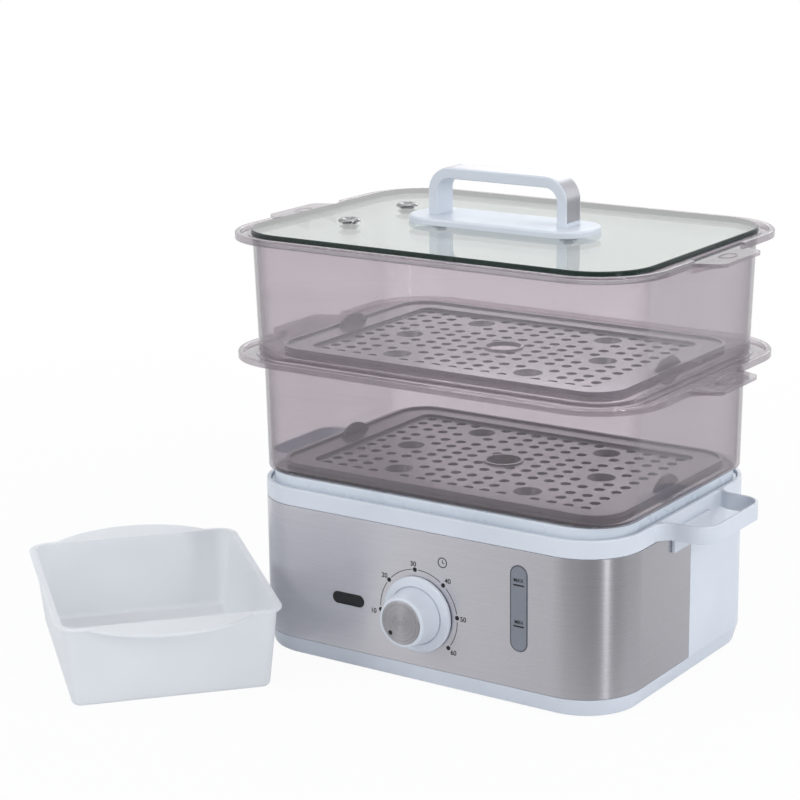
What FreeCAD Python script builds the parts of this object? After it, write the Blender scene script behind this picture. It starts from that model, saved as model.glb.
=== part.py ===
import FreeCAD, Part
import math
import os

Vector = FreeCAD.Vector

# Two-tier electric food steamer, in millimetres.
# The origin is on the table under the middle of the base, +Z is up, and the dial faces -Y.

# Outline of the base
body_width = 300.0
body_depth = 224.6
body_corner = 42.8
edge_round = 1.0
half_turn = 180.0

# Bottom cover, feet and screws
foot_height = 1.2
cover_top = 13.6
cover_floor = 2.6
cover_wall = 2.6
cover_taper = 3.5
boss_radius = 4.5
boss_top = 48.0
boss_inset = 7.0
boss_web = 2.0
tower_wall = 1.2
screw_shank = 1.75
screw_length = 22.0
screw_spare_depth = 4.0
screw_gap = 0.05
screw_head = 3.6
screw_head_height = 2.4
screw_head_gap = 0.4
screw_seat_height = 2.0
screw_drive = 1.5
screw_drive_depth = 1.4
foot_radius = 8.0
foot_chamfer = 0.6
foot_recess = 1.2
foot_stem = 3.0
foot_barb = 0.9
foot_barb_height = 2.2
foot_inset_x = 42.0
foot_inset_y = 40.0
pin_gap = 0.1
vent_slot_length = 44.0
vent_slot_width = 3.0
vent_slot_count = 7
vent_slot_pitch = 9.0

# Housing and the steel panel wrapped round its front half
housing_top = 112.4
housing_wall = 2.4
panel_thickness = 0.8
panel_gap = 0.2
panel_end_gap = 0.3
panel_top_gap = 0.5
panel_heel_radius = 5.0
seam_y = 1.6
hole_gap = 0.2

# Top ring with its two loop handles and the pads under them
ring_height = 12.5
ring_wall = 3.2
ring_ledge_width = 2.4
ring_ledge_drop = 4.4
ring_ledge_thickness = 2.5
ring_overlap = 0.5
loop_reach = 36.3
loop_half_length = 42.5
loop_corner = 16.0
loop_flare = 12.0
loop_wall = 2.6
loop_inner_corner = 2.0
loop_height = 11.9
pad_half_length = 27.0
pad_drop = 13.9
pad_thickness = 2.0
pad_gap = 0.15
pad_neck_height = 3.0

# Water tank: an upper basin, and a well under it for the heater
tank_wall = 2.4
tank_flange = 2.2
tank_gap = 0.4
tank_shelf_inset = 9.5
tank_shelf_gap = 0.5
tank_shelf_z = 96.0
well_side_gap = 40.0
well_front_gap = 8.9
well_back_gap = 32.3
well_corner = 25.0
well_floor_z = 36.0
well_flange = 5.0
well_flange_thickness = 2.2

# Heater in the floor of the well
heater_hole = 42.0
heater_block = 38.0
heater_block_depth = 12.0
heater_flange = 48.0
heater_flange_thickness = 1.4
heater_dome = 2.0
heater_dome_slope = 3.0
heater_bevel = 2.0
seal_thickness = 0.8
clamp_margin = 2.0
clamp_thickness = 1.5
clamp_gap = 0.3
heater_screw_count = 3
heater_screw_turn = 30.0
heater_screw_shank = 1.5
heater_screw_head = 2.8
heater_screw_head_height = 2.0
heater_screw_bite = 1.0
element_radius = 28.0
element_tube = 4.0
element_open_angle = 70.0
element_gap = 0.2
element_pin = 2.0
element_pin_length = 9.0
thermostat_can = 8.5
thermostat_can_height = 6.0
thermostat_base = 7.5
thermostat_base_height = 5.0
thermostat_lug_width = 6.4
thermostat_lug_offset = 4.0
thermostat_lug_height = 6.0
thermostat_lug_thickness = 0.8

# Pilot lamp and water level window in the front
lamp_x = -59.1
lamp_z = 51.4
lamp_width = 26.6
lamp_height = 8.8
window_inset = 69.5
window_x = body_width / 2 - window_inset
window_z = 70.9
window_width = 13.4
window_height = 61.0
fitting_proud = 0.3
fitting_gap = 0.15
fitting_flange = 2.8
fitting_flange_thickness = 2.0
fitting_face = 1.9
fitting_edge_round = 0.25
lamp_wall = 1.5
window_wall = 2.5
holder_depth = 9.0
holder_height = 11.0
holder_wall = 2.0
neon_radius = 3.0
neon_depth = 3.5
neon_gap = 0.2
neon_end_gap = 0.3
level_tube_margin = 1.0
level_tube_wall = 2.0
level_tube_gap = 0.5
level_nipple = 3.4
level_bore = 2.4
level_nipple_low = 7.6
level_nipple_high = 13.4

# Timer behind the dial
dial_z = 52.0
timer_width = 46.0
timer_height = 46.0
timer_depth = 34.0
timer_wall = 1.0
bush_radius = 4.5
bush_length = 2.0
bush_panel_gap = 1.0
nut_width = 13.0
nut_thickness = 2.4
shaft_radius = 3.0
shaft_fit = 0.05
shaft_flat = 0.8
shaft_end_gap = 0.4
gear_radius = 14.0
gear_tooth = 1.6
gear_teeth = 30
gear_thickness = 2.0
bell_radius = 16.6
bell_depth = 8.0
bell_sheet = 1.0
bell_crown = 11.0
bell_rim = 2.0
bell_post = 1.5
bell_rise = 6.0

# Knob, its metal cap and pointer dot
knob_gap = 0.8
knob_skirt_radius = 27.0
knob_skirt_rim = 2.0
knob_skirt_bevel = 0.9
knob_collar_radius = 20.2
knob_collar_depth = 4.6
knob_groove = 0.7
knob_front_radius = 18.0
knob_depth = 22.0
knob_wall = 2.2
knob_front_round = 1.4
knob_hub_wall = 2.6
knob_hub_gap = 0.8
cap_radius = 15.4
cap_thickness = 2.0
cap_proud = 0.6
cap_gap = 0.1
cap_bevel = 0.4
dot_radius = 1.7
dot_distance = 11.8
dot_angle = 225.0
dot_depth = 0.8
dot_gap = 0.03

# Terminal block and cable gland at the back
terminal_x = -73.0
terminal_length = 30.0
terminal_depth = 12.0
terminal_height = 14.0
terminal_back_gap = 14.6
terminal_well = 2.2
terminal_well_depth = 8.0
terminal_well_count = 3
terminal_well_pitch = 9.0
gland_inset = 56.0
gland_x = gland_inset - body_width / 2
gland_z = 28.0
gland_bore = 3.6
gland_neck = 6.8
gland_neck_length = 6.0
gland_flange = 9.5
gland_flange_thickness = 2.4
gland_shoulder = 6.4
gland_tip = 5.2
gland_length = 12.5
gland_bevel = 1.0
gland_nut_thickness = 3.0

# Drip tray
drip_inset = 6.0
drip_wall = 2.4
drip_sink = 5.0
drip_rise = 11.1
drip_floor = 2.2
drip_foot = 2.2
drip_rest = 4.0
drip_rest_thickness = 2.2
drip_edge_round = 0.8
port_width = 120.0
port_depth = 74.0
port_corner = 12.0
port_collar = 8.0

# Steaming baskets
basket_depth_step = 11.6
lower_corner = 32.15
lower_inset = 1.85
lower_draft = 1.35
lower_height = 81.8
upper_step = 3.4
upper_draft = 2.85
upper_height = 83.4
basket_wall = 2.2
basket_floor = 2.4
basket_edge_round = 2.4
rim_reach = 12.25
rim_flange = 2.2
rim_lip = 4.0
rim_lip_height = 4.6
ridge_width = 1.6
ridge_height = 1.0
seat_gap = 0.8
nest_drop = 2.0
nest_wall = 2.0
nest_play = 5.0
tab_reach = 17.0
tab_half_length = 28.0
tab_flare = 9.0
tab_corner = 7.0
tab_root = 6.0
tab_drop = 0.4
tab_rib = 1.8
tab_rib_height = 9.0
tab_rib_tip = 1.5
tab_rib_setback = 5.0
tab_rib_spread = 16.8
badge_length = 17.0
badge_width = 10.2
badge_line = 0.9
badge_height = 0.4
badge_setback = 3.0

# Removable perforated trays
tray_side_gap = 11.15
tray_end_gap = 11.65
tray_corner = 24.0
tray_plate = 2.0
tray_band = 19.0
tray_band_side = 15.0
tray_field_corner = 10.0
tray_field_drop = 2.0
tray_field_gap = 1.5
tray_bead = 2.2
tray_bead_height = 1.4
hole_radius = 3.8
hole_pitch = 13.3
hole_row_pitch = 13.1
hole_band_inset = 35.2
hole_band_rows = 3
hole_edge = 10.0
hole_margin = 1.0
centre_hole_radius = 12.5
centre_collar = 2.0
centre_collar_height = 1.2
cup_radius = 11.5
cup_slope = 2.5
cup_wall = 1.4
cup_floor = 1.6
cup_depth = 4.2
cup_drain = 4.5
cup_x = 53.3
cup_inset = 22.1
cup_side_inset = 38.0
ear_inset = 6.5
ear_thickness = 2.2
ear_half_length = 17.0
ear_height = 8.0

# Glass lid with its vents
glass_overhang = 0.75
glass_thickness = 4.0
glass_edge = 0.6
grommet_inset = 50.5
grommet_y = 37.0
grommet_radius = 8.0
grommet_neck = 4.9
grommet_bore = 2.8
grommet_height = 1.6
grommet_rim = 0.6
grommet_slope = 1.2
grommet_dish = 3.2
grommet_foot = 7.0
grommet_foot_height = 1.4
grommet_foot_bevel = 0.5

# Lid handle
plate_length = 147.0
plate_width = 49.0
plate_height = 4.8
plate_bevel = 1.8
plate_end_flat = 5.0
grip_width = 112.0
grip_height = 34.3
grip_thickness = 7.6
grip_depth = 20.5
grip_corner = 17.0
grip_inner_round = 0.9
tenon_depth = 2.5
tenon_shoulder = 1.1
tenon_side_shoulder = 2.1
strip_width = 17.6
strip_thickness = 0.7
strip_gap = 0.05
strip_proud = 0.1
strip_start = 3.0
handle_screw = 2.0
handle_screw_head = 4.2
handle_screw_head_height = 2.2
handle_screw_rise = 11.0
handle_screw_spare = 1.0
handle_glass_gap = 1.0
washer_radius = 6.5
washer_thickness = 1.2

# Rice bowl that stands beside the base
bowl_x = -196.0
bowl_y = -163.4
bowl_yaw = 48.4
bowl_width = 156.5
bowl_length = 197.0
bowl_height = 58.7
bowl_taper = 6.6
bowl_lip = 3.0
bowl_lip_thickness = 1.9
bowl_lip_round = 0.6
bowl_wall = 1.9
bowl_corner = 13.0
bowl_bottom_round = 3.5
bowl_grip_half_chord = 56.0
bowl_grip_reach = 25.0

# Values worked out from the sizes above
body = (body_width, body_depth, body_corner)
front_y = -body_depth / 2
back_y = body_depth / 2
shell_depth = panel_thickness + panel_gap + housing_wall
inner_y = front_y + shell_depth
cover_inside = foot_height + cover_floor
screw_seat = cover_inside + screw_seat_height
panel_bottom = cover_top + panel_end_gap
panel_top = housing_top - panel_top_gap
ring_top = housing_top + ring_height
ledge_top = ring_top - ring_ledge_drop
well_floor_top = well_floor_z + tank_wall
heater_seat = well_floor_top + seal_thickness
heater_low = heater_seat - heater_block_depth
fitting_front = front_y - fitting_proud
fitting_back = inner_y + fitting_flange_thickness
window_low = window_z - window_height / 2
window_high = window_z + window_height / 2
nipple_heights = (window_low + level_nipple_low, window_high - level_nipple_high)
timer_back = inner_y + timer_depth
well_front = timer_back + bell_depth + well_front_gap
well_back = back_y - well_back_gap
well_centre_y = (well_front + well_back) / 2
well = (body_width - 2 * well_side_gap, well_back - well_front, well_corner)
knob_hollow_end = knob_depth + cap_proud - cap_thickness - knob_wall
cap_face = front_y - knob_depth - cap_proud
drip_bottom = ledge_top - drip_sink
drip_top = ledge_top + drip_rise
width_less_depth = body_width - body_depth + basket_depth_step
lower_bottom_width = body_width - 2 * lower_inset
lower_top_width = lower_bottom_width + 2 * lower_draft
upper_bottom_width = lower_top_width + 2 * upper_step
upper_top_width = upper_bottom_width + 2 * upper_draft
rim_width = upper_top_width + 2 * rim_reach
glass_width = upper_top_width + 2 * glass_overhang
basket_core = lower_bottom_width - 2 * lower_corner
lower_z = drip_top
upper_z = lower_z + lower_height + rim_flange
glass_z = upper_z + upper_height + rim_flange
glass_top = glass_z + glass_thickness
plate_top = glass_top + plate_height
tray_width = lower_bottom_width - 2 * tray_side_gap
tray_depth = lower_bottom_width - width_less_depth - 2 * tray_end_gap
field_width = tray_width - 2 * tray_band
field_depth = tray_depth - 2 * tray_band_side
side_columns = int((field_width / 2 - hole_edge) / hole_pitch)
hole_band_offset = field_depth / 2 - hole_band_inset
middle_rows = int((hole_band_offset - hole_row_pitch) / hole_row_pitch)
cup_y = field_depth / 2 - cup_inset
cup_side_x = field_width / 2 - cup_side_inset
ear_x = tray_width / 2 - ear_inset
grommet_x = grommet_inset - glass_width / 2
post_x = (grip_width - grip_thickness) / 2


# Outlines and simple solids

def grow(outline, offset):
    width, depth, radius = outline
    return (width + 2 * offset, depth + 2 * offset, radius + offset)


def basket_outline(width):
    return (width, width - width_less_depth, (width - basket_core) / 2)


def rounded_wire(outline, z, cx=0.0, cy=0.0):
    width, depth, radius = outline
    quarters = ((1, 1, 0), (-1, 1, 90), (-1, -1, 180), (1, -1, 270))
    arcs = []
    for side_x, side_y, start in quarters:
        x = cx + side_x * (width / 2 - radius)
        y = cy + side_y * (depth / 2 - radius)
        arcs.append(arc_edge(x, y, radius, start, start + 90, z))
    return joined_wire(arcs)


def arc_edge(cx, cy, radius, start, end, z):
    points = []
    for angle in (start, (start + end) / 2, end):
        turn = math.radians(angle)
        points.append(Vector(cx + radius * math.cos(turn), cy + radius * math.sin(turn), z))
    return Part.Arc(*points).toShape()


def joined_wire(arcs):
    # A straight line closes each gap between one arc and the next.
    edges = []
    for index, arc in enumerate(arcs):
        edges.append(arc)
        begin = arc.lastVertex(True).Point
        end = arcs[(index + 1) % len(arcs)].firstVertex(True).Point
        if begin.distanceToPoint(end) > 1e-6:
            edges.append(Part.makeLine(begin, end))
    return Part.Wire(edges)


def polygon_face(points):
    corners = [Vector(*point) for point in points]
    return Part.Face(Part.makePolygon(corners + corners[:1]))


def prism(outline, z0, z1, cx=0.0, cy=0.0):
    return Part.Face(rounded_wire(outline, z0, cx, cy)).extrude(Vector(0, 0, z1 - z0))


def frame_prism(outline, wall, z0, z1, cx=0.0, cy=0.0):
    return prism(outline, z0, z1, cx, cy).cut(prism(grow(outline, -wall), z0, z1, cx, cy))


def taper(lower, z0, upper, z1):
    return Part.makeLoft([rounded_wire(lower, z0), rounded_wire(upper, z1)], True, True)


def box(x0, x1, y0, y1, z0, z1):
    return Part.makeBox(x1 - x0, y1 - y0, z1 - z0, Vector(x0, y0, z0))


def rod(radius, start, end):
    axis = Vector(*end) - Vector(*start)
    return Part.makeCylinder(radius, axis.Length, Vector(*start), axis)


def upright(radius, x, y, z0, z1):
    return rod(radius, (x, y, z0), (x, y, z1))


def cone(low_radius, top_radius, x, y, z0, z1):
    return Part.makeCone(low_radius, top_radius, z1 - z0, Vector(x, y, z0))


def dial_rod(radius, y0, y1):
    return rod(radius, (0, y0, dial_z), (0, y1, dial_z))


def turned(profile, origin, axis):
    solid = polygon_face([(radius, 0, along) for radius, along in profile])
    solid = solid.revolve(Vector(0, 0, 0), Vector(0, 0, 1), 360)
    turn = FreeCAD.Rotation(Vector(0, 0, 1), Vector(*axis))
    solid.Placement = FreeCAD.Placement(Vector(*origin), turn)
    return solid


def slot(length, width, z0, z1, cx=0.0, cy=0.0):
    # A straight slot with round ends, along X when it is longer than it is wide.
    radius = min(length, width) / 2
    half_x = length / 2 - radius
    half_y = width / 2 - radius
    ends = [upright(radius, cx + side * half_x, cy + side * half_y, z0, z1) for side in (-1, 1)]
    middle_x = max(half_x, radius if half_y > 0 else half_x)
    middle_y = max(half_y, radius if half_x > 0 else half_y)
    middle = box(cx - middle_x, cx + middle_x, cy - middle_y, cy + middle_y, z0, z1)
    return fuse([middle] + ends)


def front_slot(width, height, x, z, y0, y1):
    flat = slot(width, height, 0, y1 - y0)
    flat.rotate(Vector(0, 0, 0), Vector(1, 0, 0), 90)
    flat.translate(Vector(x, y1, z))
    return flat


def fuse(parts):
    return parts[0].multiFuse(parts[1:]).removeSplitter()


def mirrored_x(shape):
    return shape.mirror(Vector(0, 0, 0), Vector(1, 0, 0))


def both_sides(shapes):
    return shapes + [mirrored_x(shape) for shape in shapes]


def round_edges(shape, radius, wanted):
    return shape.makeFillet(radius, [edge for edge in shape.Edges if wanted(edge)])


def level_edges(z):
    return lambda edge: abs(edge.BoundBox.ZMin - z) < 1e-4 and abs(edge.BoundBox.ZMax - z) < 1e-4


def front_edges(y):
    return lambda edge: abs(edge.BoundBox.YMin - y) < 1e-4 and abs(edge.BoundBox.YMax - y) < 1e-4


def upright_edges(x):
    return lambda edge: edge.BoundBox.ZLength > 1 and abs(edge.BoundBox.XMax - x) < 1e-4


def boss_points():
    reach = (body_corner - shell_depth - boss_inset) / math.sqrt(2)
    x = body_width / 2 - body_corner + reach
    y = body_depth / 2 - body_corner + reach
    return [(side_x * x, side_y * y) for side_x in (-1, 1) for side_y in (-1, 1)]


def foot_points():
    x = body_width / 2 - foot_inset_x
    y = body_depth / 2 - foot_inset_y
    return [(side_x * x, side_y * y) for side_x in (-1, 1) for side_y in (-1, 1)]


# Bottom cover, feet and screws

def make_bottom_cover():
    low = grow(body, -cover_taper)
    outside = taper(low, foot_height, body, cover_top)
    outside = round_edges(outside, edge_round, level_edges(foot_height))
    inside = taper(grow(low, -cover_wall), cover_inside, grow(body, -cover_wall), cover_top)
    parts = [outside.cut(inside)]
    for x, y in boss_points():
        tower = upright(boss_radius + tower_wall, x, y, cover_inside - cover_floor / 2, cover_top)
        parts.append(tower.common(outside))
    cover = fuse(parts)
    cuts = []
    for x, y in boss_points():
        cuts.append(upright(screw_head + screw_head_gap, x, y, 0, screw_seat))
        cuts.append(upright(screw_shank + screw_head_gap, x, y, 0, cover_top + 1))
    for x, y in foot_points():
        cuts.append(upright(foot_radius + pin_gap, x, y, 0, foot_height + foot_recess))
        cuts.append(upright(foot_stem + pin_gap, x, y, 0, cover_inside + 1))
    for index in range(vent_slot_count):
        y = (index - (vent_slot_count - 1) / 2) * vent_slot_pitch
        cuts.append(slot(vent_slot_length, vent_slot_width, 0, cover_inside + 1, 0, y))
    return cover.cut(Part.makeCompound(cuts))


def make_feet():
    shoulder = foot_height + foot_recess
    tip = cover_inside + foot_barb_height
    profile = [(0, 0), (foot_radius - foot_chamfer, 0), (foot_radius, foot_chamfer), (foot_radius, shoulder),
               (foot_stem, shoulder), (foot_stem, cover_inside), (foot_stem + foot_barb, cover_inside),
               (foot_stem - foot_barb, tip), (0, tip)]
    return Part.makeCompound([turned(profile, (x, y, 0), (0, 0, 1)) for x, y in foot_points()])


def make_bottom_screws():
    screws = []
    under = screw_seat - screw_head_height
    for x, y in boss_points():
        head = upright(screw_head, x, y, under, screw_seat)
        shank = upright(screw_shank, x, y, screw_seat, screw_seat + screw_length)
        drive = upright(screw_drive, x, y, under, under + screw_drive_depth)
        screws.append(head.fuse(shank).cut(drive))
    return Part.makeCompound(screws)


# Housing and steel panel

def screw_boss(x, y):
    boss = upright(boss_radius, x, y, cover_top, boss_top)
    web = box(0, boss_inset + housing_wall / 2, -boss_web / 2, boss_web / 2, cover_top, boss_top)
    outward = math.degrees(math.atan2(math.copysign(1, y), math.copysign(1, x)))
    web.rotate(Vector(0, 0, 0), Vector(0, 0, 1), outward)
    web.translate(Vector(x, y, 0))
    return fuse([boss, web])


def make_housing():
    shell = prism(body, cover_top, housing_top)
    inside = prism(grow(body, -shell_depth), cover_top, housing_top - tank_wall)
    throat = prism(grow(body, tank_shelf_gap - tank_shelf_inset), cover_top, housing_top)
    shell = shell.cut(inside).cut(throat)
    rebate = frame_prism(body, panel_thickness + panel_gap, cover_top, housing_top)
    front_half = box(-body_width, body_width, front_y - 1, seam_y, cover_top, housing_top)
    shell = shell.cut(rebate.common(front_half))
    shell = fuse([shell] + [screw_boss(x, y) for x, y in boss_points()])
    deep = inner_y + 1
    cuts = []
    for x, y in boss_points():
        top = screw_seat + screw_length + screw_spare_depth
        cuts.append(upright(screw_shank + screw_gap, x, y, cover_top, top))
    play = 2 * hole_gap
    cuts.append(front_slot(lamp_width + play, lamp_height + play, lamp_x, lamp_z, front_y, deep))
    cuts.append(front_slot(window_width + play, window_height + play, window_x, window_z, front_y, deep))
    cuts.append(dial_rod(bush_radius + hole_gap, front_y, deep))
    gland_end = back_y - gland_neck_length
    cuts.append(rod(gland_neck + pin_gap, (gland_x, gland_end, gland_z), (gland_x, back_y, gland_z)))
    return shell.cut(Part.makeCompound(cuts))


def panel_side_profile():
    # Side view of the steel: its lower back corner is round, and the rest is square.
    x = -body_width / 2 - 1
    heel = panel_heel_radius
    end = seam_y - panel_end_gap
    centre_y = end - heel
    centre_z = panel_bottom + heel
    diagonal = heel * math.sqrt(0.5)
    start = Vector(x, centre_y, panel_bottom)
    middle = Vector(x, centre_y + diagonal, centre_z - diagonal)
    finish = Vector(x, end, centre_z)
    corners = [finish, Vector(x, end, panel_top), Vector(x, front_y - 1, panel_top),
               Vector(x, front_y - 1, panel_bottom), start]
    edges = [Part.Arc(start, middle, finish).toShape()]
    edges += [Part.makeLine(corners[index], corners[index + 1]) for index in range(len(corners) - 1)]
    return Part.Face(Part.Wire(edges))


def make_steel_panel():
    wrap = frame_prism(body, panel_thickness, panel_bottom, panel_top)
    wrap = wrap.common(panel_side_profile().extrude(Vector(body_width + 2, 0, 0)))
    y0 = front_y - 1
    y1 = front_y + 2 * panel_thickness
    play = 2 * fitting_gap
    cuts = [
        front_slot(lamp_width + play, lamp_height + play, lamp_x, lamp_z, y0, y1),
        front_slot(window_width + play, window_height + play, window_x, window_z, y0, y1),
        dial_rod(bush_radius + bush_panel_gap, y0, y1),
    ]
    return wrap.cut(Part.makeCompound(cuts))


# Top ring

def loop_plan(inset, z0, z1):
    # Plan of the loop handle: a flare off the ring at each side, two corners and a straight grip.
    root = body_width / 2
    far = root + loop_reach - inset
    side = loop_half_length - inset
    corner = loop_corner - inset
    flare = loop_flare + inset
    flare_x = root + loop_flare
    flare_y = loop_half_length + loop_flare
    lift = math.degrees(math.acos(loop_flare / flare))
    arcs = [
        arc_edge(flare_x, -flare_y, flare, half_turn - lift, half_turn / 2, z0),
        arc_edge(far - corner, -side + corner, corner, -half_turn / 2, 0, z0),
        arc_edge(far - corner, side - corner, corner, 0, half_turn / 2, z0),
        arc_edge(flare_x, flare_y, flare, -half_turn / 2, lift - half_turn, z0),
    ]
    return Part.Face(joined_wire(arcs)).extrude(Vector(0, 0, z1 - z0))


def loop_handle():
    root = body_width / 2
    low = ring_top - loop_height
    half = loop_half_length + loop_flare
    whole = loop_plan(0, low, ring_top).fuse(box(root - ring_wall / 2, root, -half, half, low, ring_top))
    opening = loop_plan(loop_wall, low - 1, ring_top + 1)
    opening = round_edges(opening, loop_inner_corner, upright_edges(root))
    return whole.cut(opening)


def pad_under_loop():
    near = body_width / 2 + pad_gap
    far = near + pad_thickness
    pad = box(near, far, -pad_half_length, pad_half_length, housing_top - pad_drop, housing_top)
    root = body_width / 2 - ring_wall / 2
    neck = box(root, far, -pad_half_length, pad_half_length, housing_top, housing_top + pad_neck_height)
    return fuse([pad, neck])


def make_top_ring():
    ring = frame_prism(body, ring_wall, housing_top, ring_top)
    ledge_outline = grow(body, ring_overlap - ring_wall)
    ledge_low = ledge_top - ring_ledge_thickness
    ledge = frame_prism(ledge_outline, ring_ledge_width + ring_overlap, ledge_low, ledge_top)
    ring = fuse([ring, ledge] + both_sides([loop_handle(), pad_under_loop()]))
    return round_edges(ring, edge_round, level_edges(ring_top))


# Water tank and heater

def make_water_tank():
    # The upper basin: a flange that hangs in the ring, side walls and a shelf round the mouth of the well.
    shelf = grow(body, -tank_shelf_inset)
    rim_top = housing_top + tank_flange
    shelf_top = tank_shelf_z + tank_wall
    tank = fuse([
        prism(grow(body, -ring_wall - tank_gap), housing_top, rim_top),
        prism(shelf, tank_shelf_z, housing_top),
    ])
    tank = tank.cut(prism(grow(shelf, -tank_wall), shelf_top, rim_top))
    return tank.cut(prism(grow(well, -tank_wall), tank_shelf_z, shelf_top, 0, well_centre_y))


def make_heater_well():
    # The well is welded under the shelf by its flange, and the heater closes the hole in its floor.
    flange_low = tank_shelf_z - well_flange_thickness
    cup = fuse([
        prism(well, well_floor_z, tank_shelf_z, 0, well_centre_y),
        prism(grow(well, well_flange), flange_low, tank_shelf_z, 0, well_centre_y),
    ])
    cuts = [
        prism(grow(well, -tank_wall), well_floor_top, tank_shelf_z, 0, well_centre_y),
        upright(heater_hole, 0, well_centre_y, well_floor_z - 1, well_floor_top + 1),
    ]
    for x, y in heater_screw_points():
        cuts.append(heater_screw_hole(x, y))
    inside_y = well_front + tank_wall
    for z in nipple_heights:
        cuts.append(rod(level_nipple + pin_gap, (window_x, well_front - 1, z), (window_x, inside_y + 1, z)))
    for cut in cuts:
        cup = cup.cut(cut)
    return cup


def heater_screw_points():
    radius = (heater_hole + heater_flange) / 2
    points = []
    for index in range(heater_screw_count):
        angle = math.radians(heater_screw_turn + 360 * index / heater_screw_count)
        points.append((radius * math.cos(angle), well_centre_y + radius * math.sin(angle)))
    return points


def heater_screw_hole(x, y):
    low = well_floor_z - clamp_thickness - 1
    return upright(heater_screw_shank + screw_gap, x, y, low, heater_seat + heater_screw_bite)


def make_heater_plate():
    flange_top = heater_seat + heater_flange_thickness
    profile = [
        (0, heater_low), (heater_block - heater_bevel, heater_low), (heater_block, heater_low + heater_bevel),
        (heater_block, heater_seat), (heater_flange, heater_seat), (heater_flange, flange_top),
        (heater_block, flange_top), (heater_block - heater_dome_slope, flange_top + heater_dome),
        (0, flange_top + heater_dome),
    ]
    plate = turned(profile, (0, well_centre_y, 0), (0, 0, 1))
    for x, y in heater_screw_points():
        plate = plate.cut(heater_screw_hole(x, y))
    return plate


def make_heater_seal():
    ring = upright(heater_flange, 0, well_centre_y, well_floor_top, heater_seat)
    ring = ring.cut(upright(heater_hole, 0, well_centre_y, well_floor_top, heater_seat))
    for x, y in heater_screw_points():
        ring = ring.cut(heater_screw_hole(x, y))
    return ring


def make_heater_clamp():
    low = well_floor_z - clamp_thickness
    clamp = upright(heater_flange + clamp_margin, 0, well_centre_y, low, well_floor_z)
    clamp = clamp.cut(upright(heater_block + clamp_gap, 0, well_centre_y, low, well_floor_z))
    for x, y in heater_screw_points():
        clamp = clamp.cut(heater_screw_hole(x, y))
    return clamp


def make_heater_screws():
    screws = []
    seat = well_floor_z - clamp_thickness
    for x, y in heater_screw_points():
        head = upright(heater_screw_head, x, y, seat - heater_screw_head_height, seat)
        shank = upright(heater_screw_shank, x, y, seat, heater_seat + heater_screw_bite - screw_gap)
        screws.append(head.fuse(shank))
    return Part.makeCompound(screws)


def make_element_tube():
    # The sheathed element is an open ring held under the plate, with a connecting pin at each end.
    centre_z = heater_low - element_gap - element_tube
    sweep_angle = 360 - element_open_angle
    start = 270 + element_open_angle / 2
    centre = Vector(0, 0, 0)
    sweep = Part.makeTorus(element_radius, element_tube, centre, Vector(0, 0, 1), 0, 360, sweep_angle)
    turn = FreeCAD.Rotation(Vector(0, 0, 1), start)
    sweep.Placement = FreeCAD.Placement(Vector(0, well_centre_y, centre_z), turn)
    pins = []
    for angle in (math.radians(start), math.radians(start + sweep_angle)):
        x = element_radius * math.cos(angle)
        y = well_centre_y + element_radius * math.sin(angle)
        pins.append(upright(element_pin, x, y, centre_z - element_pin_length, centre_z))
    return fuse([sweep] + pins)


def make_thermostat():
    can_low = heater_low - thermostat_can_height
    base_low = can_low - thermostat_base_height
    parts = [
        upright(thermostat_can, 0, well_centre_y, can_low, heater_low),
        upright(thermostat_base, 0, well_centre_y, base_low, can_low),
    ]
    half_width = thermostat_lug_width / 2
    half_sheet = thermostat_lug_thickness / 2
    for side in (-1, 1):
        x = side * thermostat_lug_offset
        near = well_centre_y - half_sheet
        far = well_centre_y + half_sheet
        low = base_low - thermostat_lug_height
        parts.append(box(x - half_width, x + half_width, near, far, low, base_low))
    return fuse(parts)


# Level window, pilot lamp and what stands behind them

def make_lens(width, height, x, z, wall):
    # A lens pushed in from behind: its face stands in the steel, and its flange stops on the housing.
    lens = front_slot(width, height, x, z, fitting_front, inner_y)
    lens = round_edges(lens, fitting_edge_round, front_edges(fitting_front))
    spread = 2 * fitting_flange
    flange = front_slot(width + spread, height + spread, x, z, inner_y, fitting_back)
    hollow = front_slot(width - 2 * wall, height - 2 * wall, x, z, fitting_front + fitting_face, fitting_back)
    return fuse([lens, flange]).cut(hollow)


def make_level_tube():
    width = window_width + 2 * level_tube_margin
    height = window_height + 2 * level_tube_margin
    far = front_y + tank_shelf_inset - level_tube_gap
    wall = level_tube_wall
    tube = front_slot(width, height, window_x, window_z, fitting_back, far)
    hollow = front_slot(width - 2 * wall, height - 2 * wall, window_x, window_z, fitting_back, far - wall)
    tube = tube.cut(hollow)
    nipple_end = well_front + tank_wall
    for z in nipple_heights:
        tube = fuse([tube, rod(level_nipple, (window_x, far - wall / 2, z), (window_x, nipple_end, z))])
    for z in nipple_heights:
        tube = tube.cut(rod(level_bore, (window_x, far - wall - 1, z), (window_x, nipple_end + 1, z)))
    return tube


def make_lamp_holder():
    half = lamp_width / 2
    half_height = holder_height / 2
    groove_radius = neon_radius + neon_gap
    groove_y = fitting_back + neon_depth
    x0 = lamp_x - half + holder_wall
    x1 = lamp_x + half - holder_wall
    holder = box(lamp_x - half, lamp_x + half, fitting_back, fitting_back + holder_depth,
                 lamp_z - half_height, lamp_z + half_height)
    groove = rod(groove_radius, (x0, groove_y, lamp_z), (x1, groove_y, lamp_z))
    mouth = box(x0, x1, fitting_back, groove_y, lamp_z - groove_radius, lamp_z + groove_radius)
    return holder.cut(groove).cut(mouth)


def make_neon_lamp():
    half = lamp_width / 2 - holder_wall - neon_end_gap
    y = fitting_back + neon_depth
    return rod(neon_radius, (lamp_x - half, y, lamp_z), (lamp_x + half, y, lamp_z))


# Timer

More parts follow.
